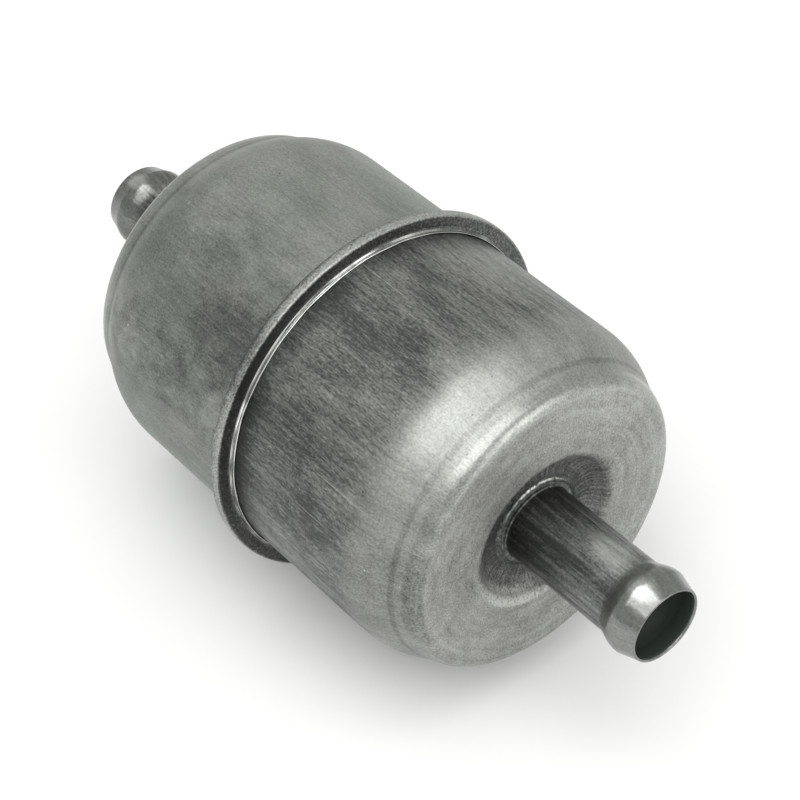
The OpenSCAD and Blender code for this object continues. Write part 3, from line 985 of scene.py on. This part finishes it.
class FUELFILTER_OT_inlet_cup(bpy.types.Operator):
    """Builds the inlet cup, the rear half of the casing, with the lip that is folded over at the seam"""

    bl_idname = "fuelfilter.inlet_cup"
    bl_label = "Inlet cup"

    def execute(self, context):
        casing = context.scene.filter_casing
        steel = cup_steel(
            "inlet_cup_steel", casing, clean=0.545, streak=0.45, grit=0.66, green=0.85,
            smudges_and_painted_light=INLET_SMUDGES_AND_PAINTED_SHADE, folded=True, seed=17.0)
        cup_bend = cup_shift(casing, 9)

        def shift(x, r, angle):
            moved_x, moved_r = cup_bend(x, r, angle)
            at_foot = step(x, *BURR_X) * step(r, *BURR_R)
            ragged = casing.edge_burr * ripple(r, angle, (5, 13, 19, 29), 0, 21)
            raised = 0.5 * casing.edge_burr * (1 + ripple(r, angle, (3, 7, 11, 17), 0, 22))
            return moved_x + at_foot * ragged, moved_r + at_foot * raised

        add_cup("inlet_cup", "inlet_shell", inlet_cup_outline(), shift, casing.steps_round, steel)
        return {"FINISHED"}


class FUELFILTER_OT_hose_tubes(bpy.types.Operator):
    """Builds the two beaded hose tubes and the braze at their roots"""

    bl_idname = "fuelfilter.hose_tubes"
    bl_label = "Hose tubes"

    def execute(self, context):
        tube = context.scene.filter_tube
        for side, flip, clean, seed in (("outlet", False, 0.31, 31), ("inlet", True, 0.2, 43)):

            def ridged(x, r, angle, seed=seed):
                far = np.abs(x)
                plain = step(far, *RIDGE_START_X) * (1 - step(far, *RIDGE_END_X))
                ridges = tube.ridge * plain * ripple(far, angle, (3, 6, 10, 15, 22), 0.03, seed)
                lumps = BEAD_LUMP * step(far, *BEAD_LUMP_X) * ripple(far, angle, (2, 3, 5), 0.6, seed + 1)
                return 0, ridges + lumps

            def lumpy(x, r, angle, seed=seed):
                spread = BRAZE_LUMP * step(r, *BRAZE_LUMP_R)
                return 0, spread * ripple(r, angle, (3, 5, 8, 14, 23), 0, seed + 2)

            outline, fillet = tube_outline(), braze_outline()
            if flip:
                outline, fillet = mirrored(outline), mirrored(fillet)
            body = turned(f"{side}_hose_tube", filled(outline, TUBE_GAP), tube.steps_round, ridged)
            dress(body, tube_finish(f"{side}_tube_steel", tube, clean, float(seed)))
            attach(body, "casing")
            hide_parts(f"{side}_tube")
            ring = turned(f"{side}_braze", filled(fillet, BRAZE_GAP), tube.steps_round, lumpy)
            dress(ring, braze_finish(f"{side}_braze_metal", tube, float(seed)))
            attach(ring, "casing")
            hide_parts(f"{side}_braze_ring")
        return {"FINISHED"}


class FUELFILTER_OT_spring(bpy.types.Operator):
    """Builds the conical spring behind the element"""

    bl_idname = "fuelfilter.spring"
    bl_label = "Element spring"

    def execute(self, context):
        turns = 2 * CLOSED_TURNS + OPEN_TURNS
        turn = np.linspace(0, turns, int(turns * STEPS_PER_TURN) + 1)[:, None]
        way = np.linspace(0, 2 * np.pi, STEPS_ROUND_WIRE, endpoint=False)[None, :]
        share = np.clip((turn - CLOSED_TURNS) / OPEN_TURNS, 0, 1)
        start_x, end_x = SEAT_TOP_X + SPRING_WIRE_R, SPRING_END_X - SPRING_WIRE_R
        big_r = SPRING_OUT_R - SPRING_WIRE_R
        x = start_x + (end_x - start_x) * share + SPRING_WIRE_R * np.cos(way)
        r = big_r + (SPRING_SMALL_R - big_r) * share + SPRING_WIRE_R * np.sin(way)
        angle = 2 * np.pi * turn
        coil = grid_mesh("coil_spring", np.stack((x, r * np.cos(angle), r * np.sin(angle)), axis=-1), False)
        dress(coil, spring_finish("spring_wire", 5.0))
        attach(coil, "casing")
        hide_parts("element_spring")
        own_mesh(coil)
        return {"FINISHED"}


class FUELFILTER_OT_element(bpy.types.Operator):
    """Finishes the pieces of the element, its seals and the spring's seat"""

    bl_idname = "fuelfilter.element"
    bl_label = "Filter element"

    def execute(self, context):
        element = context.scene.filter_element
        finishes = {
            "filter_media": paper_finish("filter_paper", element, 3.0),
            "seam_gasket": rubber_finish("gasket_rubber", element, 5.0),
            "outlet_seal": rubber_finish("seal_rubber", element, 9.0),
            "inlet_potting": resin_finish("inlet_resin", element, 2.0),
            "outlet_potting": resin_finish("outlet_resin", element, 7.0),
        }
        for seed, node in enumerate(
                ("inlet_end_cap", "outlet_end_cap", "core_tube", "pleat_seam_clip", "spring_seat")):
            finishes[node] = tinned_finish(f"{node}_tin", 2.0 + 3 * seed)
        for node, material in finishes.items():
            dress(frame["nodes"][node], material)
        return {"FINISHED"}


# ---------------------------------------------------------------- stage

def sight(azimuth, elevation):
    """Unit vector from the object towards azimuth and elevation. Azimuth 0 is at -Y, and 90 at +X."""
    turn, lift = np.radians(azimuth), np.radians(elevation)
    return Vector((np.sin(turn) * np.cos(lift), -np.cos(turn) * np.cos(lift), np.sin(lift)))


def aim(thing, place, target):
    """Puts a camera or lamp at a place, level, and turns it to look at a target."""
    back = (place - target).normalized()
    right = Vector((0, 0, 1)).cross(back).normalized()
    turn = Matrix((right, back.cross(right), back)).transposed()
    thing.matrix_world = Matrix.Translation(place) @ turn.to_4x4()


def add_lamp(name, azimuth, elevation, distance, size, power):
    """A square soft box that looks at the origin. Lengths are in metres."""
    lamp = bpy.data.lights.new(name, "AREA")
    lamp.shape = "SQUARE"
    lamp.size = size
    lamp.energy = power
    thing = bpy.data.objects.new(name, lamp)
    bpy.context.scene.collection.objects.link(thing)
    aim(thing, distance * sight(azimuth, elevation), Vector((0, 0, 0)))


class FUELFILTER_OT_stage(bpy.types.Operator):
    """Builds the pale floor, the studio lights and the camera"""

    bl_idname = "fuelfilter.stage"
    bl_label = "Studio"

    def execute(self, context):
        studio = context.scene.filter_studio
        scene = context.scene
        scene.view_settings.view_transform = "Standard"

        material, tree = new_material("floor_paint")
        here = Wire(tree)
        place = here.node("ShaderNodeTexCoord", output=3)
        mottle = here.node("ShaderNodeTexNoise", {"Vector": place, "Scale": 2.0})
        colour = mottle.blend(shaded(studio.floor_colour, 0.97), tuple(studio.floor_colour))
        close(tree, {"Base Color": colour}, {"Roughness": 0.9, "Specular IOR Level": 0.1})
        mesh = bpy.data.meshes.new("floor")
        signs = ((-1, -1), (1, -1), (1, 1), (-1, 1))
        corners = [(x * FLOOR_HALF, y * FLOOR_HALF, LOWEST_Z * MM) for x, y in signs]
        mesh.from_pydata(corners, [], [(0, 1, 2, 3)])
        floor = bpy.data.objects.new("floor", mesh)
        scene.collection.objects.link(floor)
        dress(floor, material)

        scene.world = bpy.data.worlds.new("studio")
        scene.world.use_nodes = True
        sky = scene.world.node_tree.nodes["Background"]
        sky.inputs["Color"].default_value = SKY_COLOUR
        sky.inputs["Strength"].default_value = studio.sky

        add_lamp("key_light", *KEY_LIGHT, studio.key)
        add_lamp("fill_light", *FILL_LIGHT, studio.fill)

        camera = bpy.data.cameras.new("camera")
        camera.sensor_width = SENSOR_WIDTH
        camera.lens = studio.lens
        camera.clip_start = 0.01
        thing = bpy.data.objects.new("camera", camera)
        scene.collection.objects.link(thing)
        target = Vector(CAMERA_TARGET) * MM
        aim(thing, target + CAMERA_DISTANCE * MM * sight(*CAMERA_SIGHT), target)
        scene.camera = thing
        return {"FINISHED"}


# ---------------------------------------------------------------- panel and registration

STEPS = (
    FUELFILTER_OT_stage, FUELFILTER_OT_outlet_cup, FUELFILTER_OT_inlet_cup, FUELFILTER_OT_hose_tubes,
    FUELFILTER_OT_spring, FUELFILTER_OT_element)
GROUPS = {
    "filter_casing": CasingSettings, "filter_tube": TubeSettings,
    "filter_element": ElementSettings, "filter_studio": StudioSettings}


class FUELFILTER_PT_panel(bpy.types.Panel):
    """Lists the filter's pieces and their settings"""

    bl_idname = "FUELFILTER_PT_panel"
    bl_label = "Fuel filter"
    bl_space_type = "VIEW_3D"
    bl_region_type = "UI"
    bl_category = "Fuel filter"

    def draw(self, context):
        for name, group in GROUPS.items():
            box = self.layout.box()
            box.label(text=group.__doc__)
            for setting in group.__annotations__:
                box.prop(getattr(context.scene, name), setting)
        for operator in STEPS:
            self.layout.operator(operator.bl_idname)


def register():
    for made in (*GROUPS.values(), *STEPS, FUELFILTER_PT_panel):
        bpy.utils.register_class(made)
    for name, group in GROUPS.items():
        setattr(bpy.types.Scene, name, PointerProperty(type=group))


def unregister():
    for name in GROUPS:
        delattr(bpy.types.Scene, name)
    for made in (FUELFILTER_PT_panel, *reversed(STEPS), *GROUPS.values()):
        bpy.utils.unregister_class(made)


def main():
    register()
    for operator in STEPS:
        group, name = operator.bl_idname.split(".")
        getattr(getattr(bpy.ops, group), name)()


if __name__ == "__main__":
    main()
